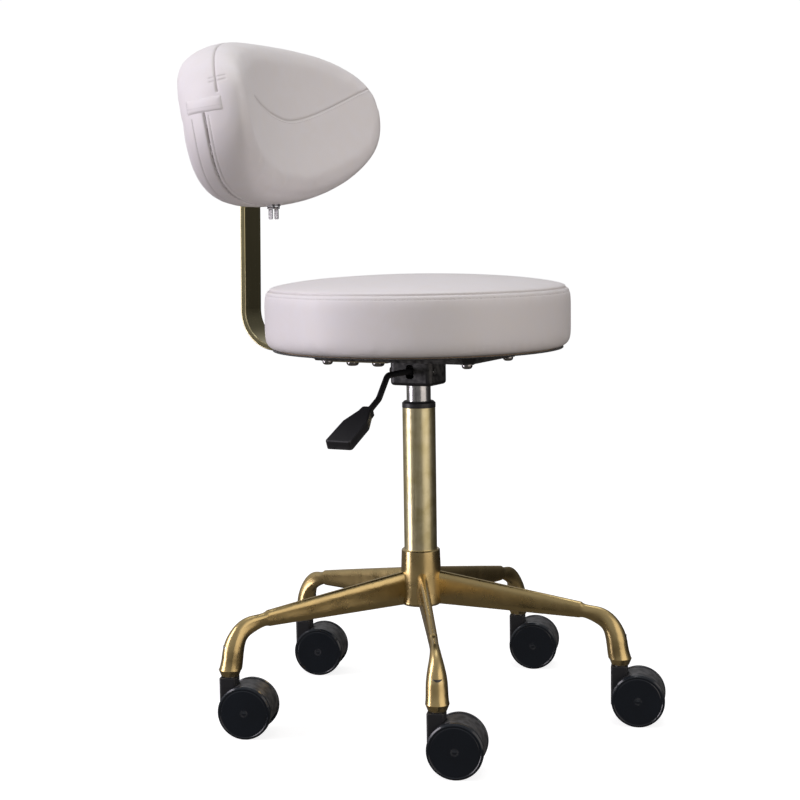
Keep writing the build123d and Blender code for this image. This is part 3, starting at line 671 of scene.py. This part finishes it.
# %% One arch: a bent line from skin to skin, given a round section
half = node(row, "ShaderNodeMath", (-950, -200), operation="MULTIPLY", values={1: 0.5})
wire(row, put["Length"], half.inputs[0])
back = node(row, "ShaderNodeMath", (-950, -350), operation="MULTIPLY", values={1: -0.5})
wire(row, put["Length"], back.inputs[0])
ends = []
for x_socket, z_socket in ((back.outputs[0], None), (None, put["Arch"]), (half.outputs[0], None)):
    corner = node(row, "ShaderNodeCombineXYZ", (-750, -200 - 150 * len(ends)))
    if x_socket:
        wire(row, x_socket, corner.inputs["X"])
    if z_socket:
        wire(row, z_socket, corner.inputs["Z"])
    ends.append(corner.outputs[0])
arch = node(row, "GeometryNodeCurveQuadraticBezier", (-520, -250), values={"Resolution": 4})
for label, end in zip(("Start", "Middle", "End"), ends):
    wire(row, end, arch.inputs[label])
round_section = node(row, "GeometryNodeCurvePrimitiveCircle", (-520, -500), values={"Resolution": 6})
wire(row, put["Thread radius"], round_section.inputs["Radius"])
solid = node(row, "GeometryNodeCurveToMesh", (-300, -250), values={"Fill Caps": True})
wire(row, arch.outputs[0], solid.inputs["Curve"])
wire(row, round_section.outputs[0], solid.inputs["Profile Curve"])

# %% Turn each arch: its Z away from the skin, its X along the seam, then the extra turn
away = node(row, "GeometryNodeInputNamedAttribute", (-750, 500), data_type="FLOAT_VECTOR",
            values={"Name": "away"})
tangent = node(row, "GeometryNodeInputTangent", (-750, 380))
stand = node(row, "FunctionNodeAlignRotationToVector", (-520, 500), axis="Z")
wire(row, away.outputs[0], stand.inputs["Vector"])
face = node(row, "FunctionNodeAlignRotationToVector", (-300, 480), axis="X", pivot_axis="Z")
wire(row, stand.outputs[0], face.inputs["Rotation"])
wire(row, tangent.outputs[0], face.inputs["Vector"])
extra = node(row, "ShaderNodeCombineXYZ", (-300, 250))
wire(row, put["Turn"], extra.inputs["Z"])
swing = node(row, "FunctionNodeRotateRotation", (-80, 450), rotation_space="LOCAL")
wire(row, face.outputs[0], swing.inputs["Rotation"])
wire(row, extra.outputs[0], swing.inputs["Rotate By"])
laid = node(row, "GeometryNodeInstanceOnPoints", (150, 200))
wire(row, cut.outputs[0], laid.inputs["Points"])
wire(row, solid.outputs[0], laid.inputs["Instance"])
wire(row, swing.outputs[0], laid.inputs["Rotation"])
real = node(row, "GeometryNodeRealizeInstances", (350, 200))
wire(row, laid.outputs[0], real.inputs[0])
smooth = node(row, "GeometryNodeSetShadeSmooth", (520, 200))
wire(row, real.outputs[0], smooth.inputs[0])
dress = node(row, "GeometryNodeSetMaterial", (700, 200))
wire(row, smooth.outputs[0], dress.inputs["Geometry"])
wire(row, put["Finish"], dress.inputs["Material"])
wire(row, dress.outputs[0], node(row, "NodeGroupOutput", (900, 200)).inputs[0])
print("row tree nodes:", len(row.nodes))


# %% Use it along one or more seams
def lay_row(name, seams, skin, body, slot, finish, closed=False, sink=0.0, **sizes):
    """seams: lists of points. skin: the object they lie on. sizes: inputs of the row tree."""
    surface = BVHTree.FromObject(skin, bpy.context.evaluated_depsgraph_get())
    points, normals, edges = [], [], []
    for seam in seams:
        first = len(points)
        for p in seam:
            place, normal, _, _ = surface.find_nearest(p)
            points.append(place - normal * sink)
            normals.append(normal)
        edges += [(i, i + 1) for i in range(first, len(points) - 1)]
        if closed:
            edges.append((len(points) - 1, first))
    mesh = bpy.data.meshes.new(name)
    mesh.from_pydata(points, edges, [])
    away = mesh.attributes.new("away", "FLOAT_VECTOR", "POINT")
    for item, normal in zip(away.data, normals):
        item.vector = normal
    thing = bpy.data.objects.new(name, mesh)
    scene.collection.objects.link(thing)
    rows = thing.modifiers.new("rows", "NODES")
    rows.node_group = row
    chosen = {label.replace("_", " "): value for label, value in sizes.items()} | {"Finish": finish}
    for socket in row.interface.items_tree:
        if socket.in_out == "INPUT" and socket.name in chosen:
            rows[socket.identifier] = chosen[socket.name]
    settle(thing)
    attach(thing, body)
    print(name, "has", len(thing.data.polygons), "faces")
    return thing


# %% [markdown]
# ## The seat
#
# The seat is a drum of foam on a plywood disc. Its cover is a round top panel joined to a side
# band just below the shoulder, with one row of topstitching under the seam. The band is pulled
# under the board and stapled. Lathing a profile gives the form. The seam and the flat base are
# held while it fills, so the crown and the band swell apart and the seam stays a crease.

# %% The seat's form
low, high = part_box("seat_cushion")
seat_r, seat_z, seat_top = (high[0] - low[0]) / 2, low[2], high[2]
shoulder = seat_top - 0.0086
inset = 0.0003
foot_round, foot_height, shoulder_round, crown_clear = 0.0115, 0.0119, 0.014, 0.0015


def ring(r, z, count=144):
    return [Vector((r * cos(2 * pi * i / count), r * sin(2 * pi * i / count), z)) for i in range(count)]


profile = [(seat_r * f, seat_z + 0.0004) for f in (0.2, 0.45, 0.7, 0.85)]
profile += [(seat_r - inset - foot_round + foot_round * sin(a),
             seat_z + foot_height - foot_round * cos(a)) for a in (radians(d) for d in range(0, 91, 15))]
profile += [(seat_r - inset, seat_z + foot_height + (shoulder - 0.0259 - seat_z) * f)
            for f in (0.25, 0.5, 0.75, 1)]
profile += [(seat_r - inset - shoulder_round + shoulder_round * cos(a),
             shoulder - shoulder_round + 0.0130 * sin(a)) for a in (radians(d) for d in range(12, 91, 12))]
profile += [(seat_r * f, shoulder + (seat_top - crown_clear - shoulder) * (1 - (f / 0.93) ** 2))
            for f in (0.8, 0.65, 0.45, 0.22)]
seat = closed_form("seat_pad", [ring(r, z) for r, z in profile], (0, 0, seat_z + 0.0004),
                   (0, 0, seat_top - crown_clear))

# %% Fill it, then press the shoulder seam and the stitch line
shoulder_seam = ring(seat_r - 0.0042, shoulder - 0.0050, 720)
stitch_line = ring(seat_r - 0.0010, shoulder - 0.0104, 720)
fill(seat, [shoulder_seam], lambda p: p.z < seat_z + 0.002, 0.0055, 3.0, 0.0022)
shoulder_seam = on_surface(seat, shoulder_seam)
stitch_line = on_surface(seat, stitch_line)
press(seat, [(shoulder_seam, 0.0016, 0.0014), (stitch_line, 0.0005, 0.0008)],
      passes=((0.0045, 1), (0.0028, 1)))
seat.data.materials.clear()
seat.data.materials.append(cover)
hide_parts("seat_cushion")
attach(seat, "seat")
print("seat pad:", len(seat.data.polygons), "faces; seam, mm:", round(1000 * total_length(shoulder_seam)))

# %% Topstitching, and the staples that hold the lining underneath
lay_row("seat_topstitch", [stitch_line], seat, "seat", "cover", thread, closed=True, sink=0.0002,
        Pitch=0.0042, Length=0.0030, Thread_radius=0.00032, Arch=0.0007)
lining_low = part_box("dust_cover")[0][2]
lay_row("lining_staples", [ring(0.158, lining_low, 180)], frame["nodes"]["dust_cover"], "seat", "zinc",
        finishes["zinc"], closed=True, Pitch=0.024, Length=0.010, Thread_radius=0.0004, Arch=0.0006)

# %% [markdown]
# ## The backrest
#
# The backrest is a wide pillow whose ends come forward round the sitter, on a board bolted to
# the bar. Its outline is a squarish oval. Four things are sewn in its cover: a seam over the
# top where front and back panels meet, a zip round the lower half so that the cover comes off,
# a tab over each end of the zip, and a curved decorative seam like a smile across the front.
# One function gives the point at a place across the thickness (side, -1 back to +1 front) and
# round the outline (turn), so the skin and every seam come from the same rule.

# %% The backrest's rule
back_w, back_h, back_t, oval, edge_r = 0.3347, 0.1885, 0.086, 2.42, 0.017
wrap, tip_back, rise_ends = 0.041, -0.0051, 0.0023
lean_back = radians(9.7)
back_mid = Vector((0, 0.2045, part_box("back_bar")[1][2] - 0.0268))


def back_frame(u, v, w):
    """From the backrest's own across, up and forward to the stool's frame."""
    f = (u / (back_w / 2)) ** 2
    v, w = v + rise_ends * f, w + wrap * f + tip_back * (v / (back_h / 2)) ** 2
    return back_mid + Vector((u, v * sin(lean_back) - w * cos(lean_back),
                              v * cos(lean_back) + w * sin(lean_back)))


def power(x, p):
    return abs(x) ** p * (1 if x > 0 else -1)


def skin_point(side, turn, scale=1.0, trim=0.0):
    """turn 0 is the sitter's left end, 90 degrees the top. scale under 1 moves in over a panel."""
    drop = edge_r * (1 - sqrt(max(0.0, 1 - side * side))) + trim
    u = scale * (back_w / 2 - drop) * power(cos(turn), 2 / oval)
    v = scale * (back_h / 2 - drop) * power(sin(turn), 2 / oval)
    dish = 0.007 * (1 - scale * scale) if side > 0 else 0.0
    return back_frame(u, v, side * (back_t / 2 - trim) - dish)


def skin_at_height(side, v, left=False):
    """The point on the rim at that height above the middle, near the sitter's right or left end."""
    drop = edge_r * (1 - sqrt(max(0.0, 1 - side * side)))
    a, b = back_w / 2 - drop, back_h / 2 - drop
    u = a * (1 - abs(v / b) ** oval) ** (1 / oval)
    return back_frame(u if left else -u, v, side * back_t / 2)


# %% The backrest's form
swell = -0.001                          # the form starts this far outside the rule
turns = [2 * pi * (i + 0.5) / 128 for i in range(128)]
rings = [[skin_point(-1, t, k, swell) for t in turns] for k in (0.2, 0.45, 0.7, 0.9)]
rings += [[skin_point(s, t, 1, swell) for t in turns] for s in (sin(radians(d)) for d in range(-90, 91, 12))]
rings += [[skin_point(1, t, k, swell) for t in turns] for k in (0.95, 0.85, 0.7, 0.5, 0.3, 0.15)]
pad = closed_form("backrest_pad", rings, back_frame(0, 0, -back_t / 2 - 0.001),
                  back_frame(0, 0, back_t / 2 - 0.007))

# %% The backrest's seams
def zip_side(turn):
    return -0.20 + 0.15 * abs(sin(turn)) ** 8


def beside_zip(shift, start, sweep):
    """A line that runs with the zip, shift forward of it, round the lower half of the rim."""
    return [skin_point(zip_side(radians(t)) + shift, radians(t))
            for t in [start - sweep * i / 300 for i in range(301)]]


over_top = [skin_point(0.30, radians(t)) for t in [8 + 164 * i / 240 for i in range(241)]]
zip_line = beside_zip(0.0, -1, 178)
front_stitch = beside_zip(0.13, -2, 176)
rear_stitch = beside_zip(-0.40, -2, 176)


def smile(drop=0.0, near=0.095, far=0.153):
    """A curved line across the front, drop below the seam, from the near end to the far one."""
    return [back_frame(u, -0.0031 - drop + 0.038 * abs(u / 0.14) ** 1.6, 0.028 + 0.029 * (u / 0.15) ** 2)
            for u in [(near + far) * i / 240 - near for i in range(241)]]


fill(pad, [over_top, zip_line], lambda p: False, 0.005, 3.0, 0.0024)
over_top, zip_line, front_stitch, rear_stitch, smile_line, smile_stitch = (
    on_surface(pad, s) for s in (over_top, zip_line, front_stitch, rear_stitch, smile(),
                                 smile(0.0032, 0.092, 0.150)))
darts = [on_surface(pad, [skin_at_height(0.12 + 0.46 * i / 30, v, left) for i in range(31)])
         for left in (False, True) for v in (0.030, 0.0345)]
press(pad, [(over_top, 0.0017, 0.0015), (zip_line, 0.0026, 0.0014), (front_stitch, 0.0006, 0.0008),
            (rear_stitch, 0.0006, 0.0008), (smile_line, 0.0010, 0.0014), (smile_stitch, 0.0002, 0.0007)]
      + [(dart, 0.0007, 0.0012) for dart in darts])
pad.data.materials.clear()
pad.data.materials.append(cover)
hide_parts("back_cushion")
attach(pad, "seat")
print("backrest pad:", len(pad.data.polygons), "faces; zip, mm:", round(1000 * total_length(zip_line)))

# %% Stitches and zip teeth
lay_row("backrest_stitches", [front_stitch, rear_stitch, smile_stitch], pad, "seat", "cover", thread,
        sink=0.0002, Pitch=0.0036, Length=0.0026, Thread_radius=0.00028, Arch=0.0006)
lay_row("zip_teeth", [zip_line], pad, "seat", "cover", thread, sink=0.0006, Pitch=0.0018,
        Length=0.0026, Thread_radius=0.0005, Arch=0.0005, Turn=pi / 2)

# %% [markdown]
# ## The tabs over the zip's ends
#
# Each end of the zip is closed by a small tab of the same cover, folded in at its edges and
# stitched down with a double row along its lower side. It could be drawn as a bump, but its
# thickness is what catches the light, so it is a real patch: a grid laid over the rim, thick in
# the middle and running into the skin at its edges.

# %% Tabs
def tab(name, left):
    skin = BVHTree.FromObject(pad, bpy.context.evaluated_depsgraph_get())
    across, up, thick, sunk = 44, 18, 0.0022, 0.0006
    grid = []
    for j in range(up + 1):
        for i in range(across + 1):
            a, b = i / across, j / up
            v = -0.0035 + 0.0165 * b + 0.0035 * (1 - a)
            place, normal, _, _ = skin.find_nearest(skin_at_height(-0.72 + 1.12 * a, v, left))
            edge = min(a * 6, (1 - a) * 6, b * 2.4, (1 - b) * 2.4, 1.0)
            grid.append(place + normal * (thick * sqrt(edge * (2 - edge)) - sunk))
    faces = [(k, k + 1, k + across + 2, k + across + 1)
             for j in range(up) for k in range(j * (across + 1), j * (across + 1) + across)]
    mesh = bpy.data.meshes.new(name)
    mesh.from_pydata(grid, [], [f if left else tuple(reversed(f)) for f in faces])
    thing = bpy.data.objects.new(name, mesh)
    scene.collection.objects.link(thing)
    rounded = thing.modifiers.new("rounded", "SUBSURF")
    rounded.levels = rounded.render_levels = 1
    settle(thing)
    for f in thing.data.polygons:
        f.use_smooth = True
    thing.data.materials.append(cover)
    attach(thing, "seat")
    return thing


for side_name, left in (("right", False), ("left", True)):
    patch = tab(f"zip_tab_{side_name}", left)
    low_rows = [[skin_at_height(-0.66 + 1.0 * i / 60, h + 0.0035 * (1 - i / 60), left)
                 for i in range(61)] for h in (-0.0008, 0.0026)]
    side_row = [skin_at_height(-0.66, 0.0035 + 0.011 * i / 20, left) for i in range(21)]
    lay_row(f"zip_tab_stitches_{side_name}", low_rows + [side_row], patch, "seat", "cover", thread,
            sink=0.0001, Pitch=0.0030, Length=0.0022, Thread_radius=0.00028, Arch=0.0006)
